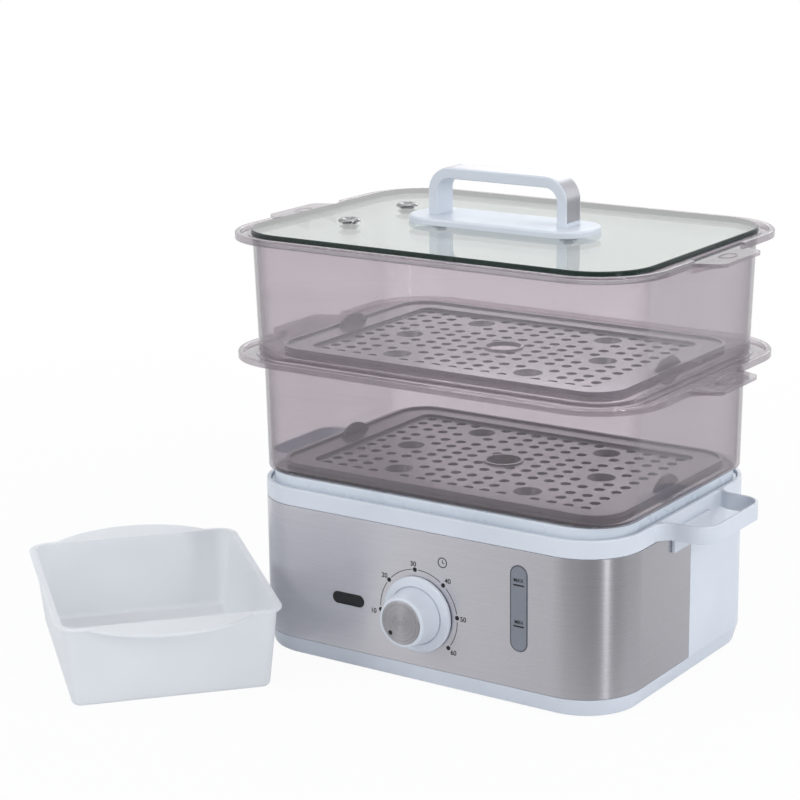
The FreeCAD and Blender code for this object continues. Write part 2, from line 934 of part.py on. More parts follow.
def make_timer_case():
    half_width = timer_width / 2
    half_height = timer_height / 2
    wall = timer_wall
    case = box(-half_width, half_width, inner_y, timer_back, dial_z - half_height, dial_z + half_height)
    hollow = box(wall - half_width, half_width - wall, inner_y + wall, timer_back - wall,
                 dial_z - half_height + wall, dial_z + half_height - wall)
    bush = dial_rod(bush_radius, front_y - bush_length, inner_y + wall)
    bore = dial_rod(shaft_radius + shaft_fit, front_y - bush_length - 1, timer_back)
    return fuse([case.cut(hollow), bush]).cut(bore)


def make_timer_nut():
    radius = nut_width / math.sqrt(3)
    points = []
    for index in range(6):
        angle = math.radians(60 * index)
        points.append((radius * math.cos(angle), front_y, dial_z + radius * math.sin(angle)))
    hexagon = polygon_face(points).extrude(Vector(0, -nut_thickness, 0))
    return hexagon.cut(dial_rod(bush_radius + screw_gap, front_y - nut_thickness - 1, front_y + 1))


def make_bell():
    # A shallow cone of sheet on a short post, flat at its crown.
    top = bell_depth - bell_sheet
    profile = [
        (0, 0), (bell_post, 0), (bell_post, top), (bell_crown, top), (bell_radius - bell_sheet, bell_rim),
        (bell_radius, bell_rim), (bell_crown, bell_depth), (0, bell_depth),
    ]
    return turned(profile, (0, timer_back, dial_z + bell_rise), (0, 1, 0))


def shaft_with_flat(clearance, back, tip):
    radius = shaft_radius + clearance
    flat_z = dial_z + radius - shaft_flat
    flat = box(-radius, radius, tip, front_y - bush_length - 1, flat_z, dial_z + radius)
    return dial_rod(radius, back, tip).cut(flat)


def make_timer_shaft():
    return shaft_with_flat(0, timer_back, front_y - knob_hollow_end)


def make_timer_gear():
    # A row of square teeth round the rim, four points for each tooth.
    points = []
    for index in range(4 * gear_teeth):
        radius = gear_radius if index % 4 < 2 else gear_radius - gear_tooth
        angle = math.radians(360 * index / (4 * gear_teeth))
        points.append((radius * math.cos(angle), 0, radius * math.sin(angle)))
    gear_y = (inner_y + timer_back) / 2
    gear = polygon_face(points).extrude(Vector(0, gear_thickness, 0))
    gear.translate(Vector(0, gear_y, dial_z))
    return gear.cut(dial_rod(shaft_radius + shaft_fit, gear_y - 1, gear_y + gear_thickness + 1))


def make_terminal_block():
    back = back_y - terminal_back_gap - housing_wall
    block = box(terminal_x - terminal_length / 2, terminal_x + terminal_length / 2,
                back - terminal_depth, back, cover_inside, cover_inside + terminal_height)
    top = cover_inside + terminal_height
    for index in range(terminal_well_count):
        x = terminal_x + (index - (terminal_well_count - 1) / 2) * terminal_well_pitch
        y = back - terminal_depth / 2
        block = block.cut(upright(terminal_well, x, y, top - terminal_well_depth, top + 1))
    return block


def make_gland():
    shoulder = gland_flange_thickness + gland_bevel
    profile = [
        (gland_bore, -gland_neck_length), (gland_neck, -gland_neck_length), (gland_neck, 0),
        (gland_flange, 0), (gland_flange, gland_flange_thickness), (gland_shoulder, shoulder),
        (gland_tip, gland_length - gland_bevel), (gland_bore, gland_length),
    ]
    gland = turned(profile, (gland_x, back_y, gland_z), (0, 1, 0))
    wall_inside = back_y - shell_depth
    nut_back = wall_inside - gland_nut_thickness
    nut = rod(gland_flange, (gland_x, nut_back, gland_z), (gland_x, wall_inside, gland_z))
    nut_bore = (gland_bore + gland_neck) / 2
    nut = nut.cut(rod(nut_bore, (gland_x, nut_back - 1, gland_z), (gland_x, back_y, gland_z)))
    return fuse([gland, nut])


# Knob

def make_knob():
    seat = knob_depth + cap_proud - cap_thickness
    pocket = cap_radius + cap_gap
    profile = [
        (0, knob_gap),
        (knob_skirt_radius, knob_gap),
        (knob_skirt_radius, knob_gap + knob_skirt_rim),
        (knob_skirt_radius - knob_skirt_bevel, knob_gap + knob_skirt_rim + knob_skirt_bevel),
        (knob_collar_radius + knob_groove, knob_collar_depth),
        (knob_collar_radius + knob_groove, knob_collar_depth - knob_groove),
        (knob_collar_radius, knob_collar_depth - knob_groove),
        (knob_collar_radius, knob_collar_depth),
        (knob_front_radius, knob_depth - knob_front_round),
        (knob_front_radius - knob_front_round / 3, knob_depth - knob_front_round / 3),
        (knob_front_radius - knob_front_round, knob_depth),
        (pocket, knob_depth), (pocket, seat), (0, seat),
    ]
    knob = turned(profile, (0, front_y, dial_z), (0, -1, 0))
    hollow_front = front_y - knob_hollow_end
    knob = knob.cut(dial_rod(knob_front_radius - knob_wall, front_y, hollow_front))
    hub_start = front_y - max(nut_thickness, bush_length) - knob_hub_gap
    hub = dial_rod(shaft_radius + knob_hub_wall, hub_start, hollow_front - knob_wall / 2)
    knob = fuse([knob, hub])
    return knob.cut(shaft_with_flat(shaft_fit, hub_start, hollow_front - shaft_end_gap))


def dot_place():
    angle = math.radians(dot_angle)
    return (dot_distance * math.cos(angle), dial_z + dot_distance * math.sin(angle))


def make_knob_cap():
    cap = dial_rod(cap_radius, cap_face + cap_thickness, cap_face)
    cap = cap.makeChamfer(cap_bevel, [edge for edge in cap.Edges if front_edges(cap_face)(edge)])
    x, z = dot_place()
    return cap.cut(rod(dot_radius, (x, cap_face - 1, z), (x, cap_face + dot_depth, z)))


def make_pointer_dot():
    x, z = dot_place()
    return rod(dot_radius - dot_gap, (x, cap_face, z), (x, cap_face + dot_depth, z))


# Drip tray

def make_drip_tray():
    wall = grow(body, -drip_inset)
    inside = grow(wall, -drip_wall)
    floor_top = drip_bottom + drip_floor
    tray = prism(wall, drip_bottom, drip_top).cut(prism(inside, floor_top, drip_top))
    foot_outline = grow(body, -ring_wall - tank_gap)
    foot_width = drip_inset - ring_wall - tank_gap + drip_wall / 2
    port = (port_width, port_depth, port_corner)
    tray = fuse([
        tray,
        frame_prism(foot_outline, foot_width, ledge_top, ledge_top + drip_foot),
        frame_prism(wall, drip_wall + drip_rest, drip_top - drip_rest_thickness, drip_top),
        prism(grow(port, drip_wall), drip_bottom, floor_top + port_collar),
    ])
    tray = tray.cut(prism(port, drip_bottom - 1, drip_top))
    return round_edges(tray, drip_edge_round, level_edges(drip_top))


# Baskets

def basket_tab(low, top):
    # A grip that flares out of the short side of the rim, with an oval mark on it.
    root = rim_width / 2 - tab_root
    far = rim_width / 2 + tab_reach
    wide = tab_half_length + tab_flare
    plan = [(root, -wide, low), (far, -tab_half_length, low), (far, tab_half_length, low), (root, wide, low)]
    tab = polygon_face(plan).extrude(Vector(0, 0, top - low))
    tab = round_edges(tab, tab_corner, upright_edges(far))
    centre_x = far - tab_reach / 2 - badge_setback
    badge = slot(badge_width, badge_length, top - badge_height, top + badge_height, centre_x)
    hollow = slot(badge_width - 2 * badge_line, badge_length - 2 * badge_line,
                  top - badge_height, top + badge_height, centre_x)
    return [tab, badge.cut(hollow)]


def basket_rib(y, rim_z, wall_x):
    tip = rim_width / 2 + tab_reach - tab_rib_setback
    side = y - tab_rib / 2
    corners = [(wall_x, side, rim_z), (tip, side, rim_z), (tip, side, rim_z - tab_rib_tip),
               (wall_x, side, rim_z - tab_rib_height)]
    return polygon_face(corners).extrude(Vector(0, tab_rib, 0))


def lip_edges(z):
    # The edges along the top of the outer lip, without the short ones at its open ends.
    def wanted(edge):
        across = edge.BoundBox.XLength < 1e-4 or edge.BoundBox.YLength < 1e-4
        return level_edges(z)(edge) and not (across and edge.Length < rim_lip + 0.1)
    return wanted


def make_basket(z, height, bottom_width, top_width, seat_width, nest_width):
    # The ridge on the rim keeps in place what stands on it, and the nest lip drops into what is below.
    rim_z = z + height
    seat = rim_z + rim_flange
    low = basket_outline(bottom_width)
    top = basket_outline(top_width)
    rim = basket_outline(rim_width)
    ridge = basket_outline(seat_width + 2 * seat_gap + 2 * ridge_width)
    walls = round_edges(taper(low, z, top, seat), basket_edge_round, level_edges(z))
    basket = fuse([
        walls,
        prism(rim, rim_z, seat),
        frame_prism(rim, rim_lip, rim_z, rim_z + rim_lip_height),
        frame_prism(ridge, ridge_width, rim_z, seat + ridge_height),
        frame_prism(basket_outline(nest_width), nest_wall, z - nest_drop, z + basket_floor / 2),
    ])
    inside = taper(grow(low, -basket_wall), z + basket_floor, grow(top, -basket_wall), seat)
    field = grow((field_width, field_depth, tray_field_corner), tray_field_gap)
    half_gap = tab_half_length + tab_flare
    lip_top = rim_z + rim_lip_height
    gap = box(rim_width / 2 - rim_lip - 0.5, rim_width / 2 + 1, -half_gap, half_gap, seat, lip_top + 1)
    for cut in [inside, prism(field, z - nest_drop, z + basket_floor)] + both_sides([gap]):
        basket = basket.cut(cut)
    basket = round_edges(basket, edge_round, lip_edges(lip_top))
    ribs = [basket_rib(side * tab_rib_spread, rim_z, top_width / 2 - basket_wall / 2) for side in (-1, 1)]
    return fuse([basket] + both_sides(basket_tab(rim_z - tab_drop, seat) + ribs))


# Perforated trays

def cup_points():
    points = [(side_x * cup_x, side_y * cup_y) for side_x in (-1, 1) for side_y in (-1, 1)]
    return points + [(-cup_side_x, 0.0), (cup_side_x, 0.0)]


def hole_points():
    # Rows across the middle and a band of them along each long side, clear of the cups and the centre hole.
    rows = [index * hole_row_pitch for index in range(-middle_rows, middle_rows + 1)]
    for index in range(hole_band_rows):
        offset = hole_band_offset + index * hole_row_pitch
        rows += [offset, -offset]
    clear_of = [(x, y, cup_radius) for x, y in cup_points()]
    clear_of.append((0.0, 0.0, centre_hole_radius))
    points = []
    for column in range(-side_columns, side_columns + 1):
        x = column * hole_pitch
        for y in rows:
            gaps = [math.hypot(x - cx, y - cy) - radius - hole_radius for cx, cy, radius in clear_of]
            if min(gaps) > hole_margin:
                points.append((x, y))
    return points


def tray_ear(side, plate_z):
    # An upright flap whose top is an arc over its whole length.
    radius = (ear_half_length ** 2 + ear_height ** 2) / (2 * ear_height)
    near = side * ear_x - ear_thickness / 2
    far = side * ear_x + ear_thickness / 2
    centre_z = plate_z + ear_height - radius
    disc = rod(radius, (near, 0, centre_z), (far, 0, centre_z))
    return disc.common(box(near, far, -radius, radius, plate_z - tray_plate / 2, plate_z + ear_height))


def make_perforated_tray(z):
    # The outer band rests on the basket, and the perforated field hangs a step lower in its opening.
    band = (tray_width, tray_depth, tray_corner)
    field = (field_width, field_depth, tray_field_corner)
    low = z - tray_field_drop
    field_top = low + tray_plate
    plate_z = z + tray_plate
    tray = fuse([prism(band, z, plate_z), prism(field, low, plate_z)])
    tray = tray.cut(prism(grow(field, -tray_plate), field_top, plate_z))
    cup_low = low - cup_depth
    parts = [tray, frame_prism(band, tray_bead, z, plate_z + tray_bead_height)]
    for x, y in cup_points():
        parts.append(cone(cup_radius - cup_slope, cup_radius, x, y, cup_low, field_top))
    parts.append(upright(centre_hole_radius + centre_collar, 0, 0, low, field_top + centre_collar_height))
    parts += [tray_ear(side, plate_z) for side in (-1, 1)]
    tray = fuse(parts)
    cuts = [upright(hole_radius, x, y, low - 1, field_top + 1) for x, y in hole_points()]
    cuts.append(upright(centre_hole_radius, 0, 0, low - 1, plate_z + 1))
    for x, y in cup_points():
        hollow_low = cup_low + cup_floor
        inner = cup_radius - cup_wall
        cuts.append(cone(inner - cup_slope, inner, x, y, hollow_low, field_top))
        cuts.append(upright(cup_drain, x, y, cup_low - 1, hollow_low + 1))
    return tray.cut(Part.makeCompound(cuts))


# Glass lid

def make_glass():
    glass = prism(basket_outline(glass_width), glass_z, glass_top)
    rims = [edge for edge in glass.Edges if level_edges(glass_z)(edge) or level_edges(glass_top)(edge)]
    glass = glass.makeChamfer(glass_edge, rims)
    for side in (-1, 1):
        vent = upright(grommet_neck + pin_gap, grommet_x, side * grommet_y, glass_z - 1, glass_top + 1)
        bolt = upright(handle_screw + handle_glass_gap, side * post_x, 0, glass_z - 1, glass_top + 1)
        glass = glass.cut(vent).cut(bolt)
    return glass


def make_grommets():
    rim = glass_thickness + grommet_rim
    profile = [
        (grommet_bore, -grommet_foot_height), (grommet_foot - grommet_foot_bevel, -grommet_foot_height),
        (grommet_foot, -grommet_foot_height + grommet_foot_bevel), (grommet_foot, 0), (grommet_neck, 0),
        (grommet_neck, glass_thickness), (grommet_radius, glass_thickness), (grommet_radius, rim),
        (grommet_radius - grommet_slope, glass_thickness + grommet_height),
        (grommet_radius - grommet_dish, glass_thickness + grommet_height), (grommet_bore, rim),
    ]
    places = [(grommet_x, side * grommet_y, glass_z) for side in (-1, 1)]
    return Part.makeCompound([turned(profile, place, (0, 0, 1)) for place in places])


# Lid handle

def tenon_box(x, play, top):
    half_x = grip_thickness / 2 - tenon_shoulder + play
    half_y = grip_depth / 2 - tenon_side_shoulder + play
    return box(x - half_x, x + half_x, -half_y, half_y, plate_top - tenon_depth, top)


def make_handle_base():
    outline = (plate_length, plate_width, (plate_width - plate_end_flat) / 2)
    plate = prism(outline, glass_top, plate_top)
    plate = round_edges(plate, plate_bevel, level_edges(plate_top))
    for side in (-1, 1):
        x = side * post_x
        plate = plate.cut(tenon_box(x, pin_gap, plate_top + 1))
        plate = plate.cut(upright(handle_screw + hole_gap, x, 0, glass_top - 1, plate_top))
    return plate


def arch_solid(inset, bottom, depth):
    # The arch seen from the front, down to a given height, centred on y = 0.
    half = grip_width / 2 - inset
    top = plate_top + grip_height - inset
    radius = grip_corner - inset
    block = box(-half, half, -depth / 2, depth / 2, bottom, top)
    ends = [edge for edge in block.Edges if level_edges(top)(edge) and edge.BoundBox.YLength > depth / 2]
    return block.makeFillet(radius, ends)


def inner_arch_edges(edge):
    limits = edge.BoundBox
    reach = grip_width / 2 - grip_thickness + 1e-4
    on_face = limits.YLength < 1e-4 and abs(abs(limits.YMin) - grip_depth / 2) < 1e-4
    return on_face and limits.XMax <= reach and limits.XMin >= -reach and limits.ZMax > plate_top + 1


def make_grip():
    grip = arch_solid(0, plate_top, grip_depth).cut(arch_solid(grip_thickness, plate_top - 1, grip_depth + 2))
    channel = arch_solid(-1, plate_top + strip_start, strip_width + 2 * strip_gap)
    channel = channel.cut(arch_solid(strip_thickness - strip_proud, plate_top, strip_width + 2))
    grip = round_edges(grip.cut(channel), grip_inner_round, inner_arch_edges)
    hole_top = plate_top + handle_screw_rise + handle_screw_spare
    for side in (-1, 1):
        x = side * post_x
        grip = fuse([grip, tenon_box(x, 0, plate_top + 1)])
        grip = grip.cut(upright(handle_screw + screw_gap, x, 0, plate_top - tenon_depth - 1, hole_top))
    return grip


def make_grip_strip():
    strip = arch_solid(-strip_proud, plate_top + strip_start + strip_gap, strip_width)
    return strip.cut(arch_solid(strip_thickness - strip_proud, plate_top, strip_width + 2))


def make_handle_screws():
    screws = []
    seat = glass_z - washer_thickness
    under = seat - handle_screw_head_height
    for side in (-1, 1):
        x = side * post_x
        head = upright(handle_screw_head, x, 0, under, seat)
        shank = upright(handle_screw, x, 0, seat, plate_top + handle_screw_rise)
        drive = upright(screw_drive, x, 0, under, under + screw_drive_depth)
        screws.append(head.fuse(shank).cut(drive))
    return Part.makeCompound(screws)


def make_handle_washers():
    washers = []
    low = glass_z - washer_thickness
    for side in (-1, 1):
        ring = upright(washer_radius, side * post_x, 0, low, glass_z)
        washers.append(ring.cut(upright(handle_screw + pin_gap, side * post_x, 0, low, glass_z)))
    return Part.makeCompound(washers)


# Rice bowl

def bowl_grip():
    # A flat flange beyond the short side of the rim, bounded by an arc.
    radius = (bowl_grip_half_chord ** 2 + bowl_grip_reach ** 2) / (2 * bowl_grip_reach)
    edge_y = bowl_length / 2 - bowl_lip
    low = bowl_height - bowl_lip_thickness
    disc = upright(radius, 0, bowl_length / 2 + bowl_grip_reach - radius, low, bowl_height)
    return disc.common(box(-bowl_width, bowl_width, edge_y, edge_y + radius, low, bowl_height))


def make_rice_bowl():
    rim = grow((bowl_width, bowl_length, bowl_corner + bowl_lip), -bowl_lip)
    low = grow(rim, -bowl_taper)
    walls = round_edges(taper(low, 0, rim, bowl_height), bowl_bottom_round, level_edges(0))
    lip = prism(grow(rim, bowl_lip), bowl_height - bowl_lip_thickness, bowl_height)
    grip = bowl_grip()
    bowl = fuse([walls, lip, grip, grip.mirror(Vector(0, 0, 0), Vector(0, 1, 0))])
    bowl = round_edges(bowl, bowl_lip_round, level_edges(bowl_height))
    inside = taper(grow(low, -bowl_wall), bowl_wall, grow(rim, -bowl_wall), bowl_height)
    bowl = bowl.cut(round_edges(inside, bowl_bottom_round, level_edges(bowl_wall)))
    bowl.Placement = FreeCAD.Placement(Vector(bowl_x, bowl_y, 0), FreeCAD.Rotation(Vector(0, 0, 1), bowl_yaw))
    return bowl


def make_nodes():
    drip_inside = body_width - 2 * (drip_inset + drip_wall + drip_rest)
    lower_nest = drip_inside - 2 * seat_gap
    upper_nest = lower_top_width - 2 * (basket_wall + nest_play)
    return {
        "bottom_cover": make_bottom_cover(),
        "feet": make_feet(),
        "bottom_screws": make_bottom_screws(),
        "housing": make_housing(),
        "steel_panel": make_steel_panel(),
        "top_ring": make_top_ring(),
        "water_tank": make_water_tank(),
        "heater_well": make_heater_well(),
        "heater_plate": make_heater_plate(),
        "heater_seal": make_heater_seal(),
        "heater_clamp": make_heater_clamp(),
        "heater_screws": make_heater_screws(),
        "element_tube": make_element_tube(),
        "thermostat": make_thermostat(),
        "level_window": make_lens(window_width, window_height, window_x, window_z, window_wall),
        "level_tube": make_level_tube(),
        "lamp_lens": make_lens(lamp_width, lamp_height, lamp_x, lamp_z, lamp_wall),
        "lamp_holder": make_lamp_holder(),
        "neon_lamp": make_neon_lamp(),
        "timer_case": make_timer_case(),
        "timer_nut": make_timer_nut(),
        "timer_bell": make_bell(),
        "terminal_block": make_terminal_block(),
        "cable_gland": make_gland(),
        "knob": make_knob(),
        "knob_cap": make_knob_cap(),
        "pointer_dot": make_pointer_dot(),
        "timer_shaft": make_timer_shaft(),
        "timer_gear": make_timer_gear(),
        "drip_tray": make_drip_tray(),
        "lower_basket": make_basket(lower_z, lower_height, lower_bottom_width, lower_top_width,
                                    upper_bottom_width, lower_nest),
        "lower_tray": make_perforated_tray(lower_z + basket_floor),
        "upper_basket": make_basket(upper_z, upper_height, upper_bottom_width, upper_top_width,
                                    glass_width, upper_nest),
        "upper_tray": make_perforated_tray(upper_z + basket_floor),
        "lid_glass": make_glass(),
        "vent_grommets": make_grommets(),
        "handle_base": make_handle_base(),
        "handle_grip": make_grip(),
        "handle_strip": make_grip_strip(),
        "handle_screws": make_handle_screws(),
        "handle_washers": make_handle_washers(),
        "rice_bowl": make_rice_bowl(),
    }


os.makedirs("parts", exist_ok=True)
for name, shape in make_nodes().items():
    solids = shape.Solids
    whole = solids[0] if len(solids) == 1 else Part.makeCompound(solids)
    whole.exportStep(os.path.join("parts", name + ".step"))
    print(name, len(solids), whole.isValid(), round(whole.Volume, 1))
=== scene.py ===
import math

import bmesh
import bpy
from mathutils import Matrix, Vector


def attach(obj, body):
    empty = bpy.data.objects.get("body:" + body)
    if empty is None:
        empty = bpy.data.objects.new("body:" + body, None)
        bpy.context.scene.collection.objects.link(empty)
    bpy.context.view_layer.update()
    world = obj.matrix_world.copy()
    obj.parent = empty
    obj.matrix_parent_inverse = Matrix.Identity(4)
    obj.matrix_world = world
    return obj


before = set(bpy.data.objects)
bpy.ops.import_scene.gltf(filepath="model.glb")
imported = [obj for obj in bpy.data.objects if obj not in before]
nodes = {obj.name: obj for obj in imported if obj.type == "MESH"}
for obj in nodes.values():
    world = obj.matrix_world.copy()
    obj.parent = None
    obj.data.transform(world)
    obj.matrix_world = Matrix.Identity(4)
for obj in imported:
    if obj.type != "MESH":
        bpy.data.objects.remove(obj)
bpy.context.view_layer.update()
mm = 0.001
white = (1, 1, 1, 1)


def say(text):
    print("steamer:", text, flush=True)


# shader helpers

def toLinear(value):
    value /= 255
    return value / 12.92 if value <= 0.04045 else ((value + 0.055) / 1.055) ** 2.4


def tone(red, green, blue):
    return (toLinear(red), toLinear(green), toLinear(blue), 1.0)


def dimmed(colour, share):
    return tuple(part * share for part in colour[:3]) + (1,)


def newMaterial(name):
    material = bpy.data.materials.new(name)
    material.use_nodes = True
    material.node_tree.nodes.clear()
    return material, material.node_tree


def add(tree, kind, values=None, **settings):
    # one shader node: settings are its menus, values are numbers or sockets for its inputs
    node = tree.nodes.new("ShaderNode" + kind)
    for key, value in settings.items():
        setattr(node, key, value)
    for key, value in (values or {}).items():
        if isinstance(value, bpy.types.NodeSocket):
            tree.links.new(value, node.inputs[key])
        else:
            node.inputs[key].default_value = value
    return node


def finishMaterial(tree, surface):
    output = tree.nodes.new("ShaderNodeOutputMaterial")
    tree.links.new(surface, output.inputs["Surface"])


def grain(tree, scale, detail=2.0, rough=0.5, stretch=(1, 1, 1)):
    # noise on the object's own coordinates in metres, drawn out along its axes by the stretch
    coordinates = add(tree, "TexCoord")
    mapping = add(tree, "Mapping", {"Vector": coordinates.outputs["Object"], "Scale": stretch})
    noise = add(tree, "TexNoise", {
        "Vector": mapping.outputs["Vector"], "Scale": scale, "Detail": detail, "Roughness": rough,
    })
    return noise.outputs["Fac"]


def spread(tree, value, low, high, fromLow=0.3, fromHigh=0.7):
    node = add(tree, "MapRange", {
        "Value": value, "From Min": fromLow, "From Max": fromHigh, "To Min": low, "To Max": high,
    })
    return node.outputs["Result"]


def blendColours(tree, factor, first, second):
    node = add(tree, "Mix", data_type="RGBA")
    for name, value in (("Factor", factor), ("A", first), ("B", second)):
        target = [socket for socket in node.inputs if socket.name == name and socket.enabled][0]
        if isinstance(value, bpy.types.NodeSocket):
            tree.links.new(value, target)
        else:
            target.default_value = value
    return [socket for socket in node.outputs if socket.enabled][0]


def sums(tree, operation, first, second=0.0):
    node = add(tree, "Math", {0: first, 1: second}, operation=operation)
    return node.outputs["Value"]


def roundedBump(tree, look, height):
    # the bump lies on a normal that rounds the sharp edges off
    bevel = add(tree, "Bevel", {"Radius": look["edge"] * mm}, samples=4)
    node = add(tree, "Bump", {
        "Height": height, "Strength": look["dents"], "Distance": look["dentDepth"] * mm,
        "Normal": bevel.outputs["Normal"],
    })
    return node.outputs["Normal"]


def mixShaders(tree, factor, first, second):
    node = add(tree, "MixShader", {0: factor, 1: first, 2: second})
    return node.outputs["Shader"]


def sheen(tree, straight):
    # share of light that a clear sheet mirrors, the same from both of its sides
    facing = add(tree, "LayerWeight", {"Blend": 0.5}).outputs["Facing"]
    edgeOn = sums(tree, "MULTIPLY", sums(tree, "POWER", facing, 5.0), 1 - straight)
    return sums(tree, "ADD", edgeOn, straight)


# moulded plastics

# tones run from dark to light, roughness from low to high; edge and dentDepth are millimetres
mouldedCommon = {
    "drift": 16, "patches": 60, "pebble": 1400, "dents": 0.05, "dentDepth": 0.1,
    "specular": 0.5, "edge": 0.35,
}
mouldedLooks = {
    "whitePlastic": {"dark": (207, 214, 224), "light": (215, 221, 231), "rough": (0.30, 0.42)},
    "dripPlastic": {"dark": (204, 213, 224), "light": (213, 221, 231), "rough": (0.24, 0.34)},
    "tankPlastic": {"dark": (206, 210, 215), "light": (216, 220, 224), "rough": (0.34, 0.46)},
    "innerPlastic": {"dark": (192, 188, 178), "light": (204, 200, 190), "rough": (0.45, 0.6)},
    "rubberFoot": {"dark": (64, 64, 66), "light": (78, 78, 80), "rough": (0.65, 0.8),
                   "pebble": 900, "dents": 0.12, "specular": 0.3},
    "blackLens": {"dark": (12, 12, 15), "light": (18, 17, 21), "rough": (0.10, 0.16),
                  "pebble": 600, "dents": 0.01},
    "blackInk": {"dark": (16, 16, 18), "light": (26, 26, 28), "rough": (0.5, 0.62),
                 "pebble": 2600, "specular": 0.4, "edge": 0.02},
    "windowLens": {"dark": (118, 123, 134), "light": (132, 137, 148), "rough": (0.16, 0.24),
                   "pebble": 500, "dents": 0.02},
    # painted shade: the dark line in the seam round the level window
    "seamShade": {"dark": (66, 68, 76), "light": (82, 84, 92), "rough": (0.4, 0.5),
                  "pebble": 900, "dents": 0.03, "specular": 0.3, "edge": 0.05},
}


def mouldedPlastic(name, look):
    # satin moulding: a fine eggshell bump, slight tone drift and roughness that wanders
    material, tree = newMaterial(name)
    drift = spread(tree, grain(tree, look["drift"], detail=3), 0, 1)
    shader = add(tree, "BsdfPrincipled", {
        "Base Color": blendColours(tree, drift, tone(*look["dark"]), tone(*look["light"])),
        "Roughness": spread(tree, grain(tree, look["patches"], detail=3), *look["rough"]),
        "Specular IOR Level": look["specular"],
        "Normal": roundedBump(tree, look, grain(tree, look["pebble"])),
    })
    finishMaterial(tree, shader.outputs["BSDF"])
    return material


# metals

acrossScratches = 0.25  # a quarter turn of the gloss, which spreads highlights across the brushing

# stretch is the noise's scale along X, Y and Z, smallest along the scratches
brushedCommon = {
    "bandStretch": 0.2, "bandShare": 0.2, "contrast": (0.36, 0.64), "anisotropy": 0.0, "axis": "Z",
    "dents": 0.35, "dentDepth": 0.02, "edge": 0.25,
}
brushedLooks = {
    "brushedSteel": {"dark": (192, 191, 197), "light": (200, 199, 205), "stretch": (0.6, 0.6, 5200),
                     "rough": (0.26, 0.32), "anisotropy": 0.8, "dents": 0.12},
    "gripSteel": {"dark": (176, 176, 182), "light": (190, 190, 196), "stretch": (4, 2400, 4),
                  "rough": (0.28, 0.38), "anisotropy": 0.5, "axis": "Y"},
    "plainSteel": {"dark": (168, 168, 170), "light": (192, 192, 194), "stretch": (500, 500, 500),
                   "rough": (0.32, 0.48)},
    "ventMetal": {"dark": (128, 128, 130), "light": (160, 160, 162), "stretch": (420, 420, 900),
                  "rough": (0.18, 0.28)},
    "heaterMetal": {"dark": (178, 176, 172), "light": (200, 198, 194), "stretch": (60, 900, 60),
                    "rough": (0.26, 0.4), "anisotropy": 0.3},
    "gearBrass": {"dark": (176, 142, 80), "light": (206, 172, 104), "stretch": (300, 300, 300),
                  "rough": (0.3, 0.42)},
}


def brushedMetal(name, look):
    # long fine scratches: two noises drawn out along the brushing, in tone, roughness and bump
    material, tree = newMaterial(name)
    wider = tuple(value * look["bandStretch"] for value in look["stretch"])
    hair = grain(tree, 1.0, detail=3, rough=0.7, stretch=look["stretch"])
    band = grain(tree, 1.0, stretch=wider)
    mixed = sums(tree, "ADD", sums(tree, "MULTIPLY", hair, 1 - look["bandShare"]),
                 sums(tree, "MULTIPLY", band, look["bandShare"]))
    shade = spread(tree, mixed, 0, 1, *look["contrast"])
    tangent = add(tree, "Tangent", direction_type="RADIAL", axis=look["axis"])
    shader = add(tree, "BsdfPrincipled", {
        "Base Color": blendColours(tree, shade, tone(*look["dark"]), tone(*look["light"])),
        "Metallic": 1.0,
        "Roughness": spread(tree, mixed, *look["rough"], *look["contrast"]),
        "Anisotropic": look["anisotropy"],
        "Anisotropic Rotation": acrossScratches,
        "Tangent": tangent.outputs["Tangent"],
        "Normal": roundedBump(tree, look, hair),
    })
    finishMaterial(tree, shader.outputs["BSDF"])
    return material


# the knob's cap is turned on a lathe: centre is a point on the knob's axis, in metres
spunLook = {
    "dark": (150, 149, 154), "light": (184, 183, 188), "centre": (0, -0.1349, 0.052), "rings": 2600,
    "rough": (0.26, 0.36), "anisotropy": 0.85, "dents": 0.25, "dentDepth": 0.02,
}


def spunMetal(name, look):
    # turned face: rings about the knob's axis, with the sheen running across them
    material, tree = newMaterial(name)
    coordinates = add(tree, "TexCoord").outputs["Object"]
    offset = add(tree, "VectorMath", {0: coordinates, 1: look["centre"]}, operation="SUBTRACT")
    flat = add(tree, "VectorMath", {0: offset.outputs["Vector"], 1: (1, 0, 1)}, operation="MULTIPLY")
    radius = add(tree, "VectorMath", {0: flat.outputs["Vector"]}, operation="LENGTH").outputs["Value"]
    noise = add(tree, "TexNoise", {"W": radius, "Scale": look["rings"], "Detail": 2},
                noise_dimensions="1D")
    rings = noise.outputs["Fac"]
    shade = spread(tree, rings, 0, 1)
    tangent = add(tree, "Tangent", direction_type="RADIAL", axis="Y")
    bump = add(tree, "Bump", {
        "Height": rings, "Strength": look["dents"], "Distance": look["dentDepth"] * mm,
    })
    shader = add(tree, "BsdfPrincipled", {
        "Base Color": blendColours(tree, shade, tone(*look["dark"]), tone(*look["light"])),
        "Metallic": 1.0,
        "Roughness": spread(tree, rings, *look["rough"]),
        "Anisotropic": look["anisotropy"],
        "Anisotropic Rotation": acrossScratches,
        "Tangent": tangent.outputs["Tangent"],
        "Normal": bump.outputs["Normal"],
    })
    finishMaterial(tree, shader.outputs["BSDF"])
    return material
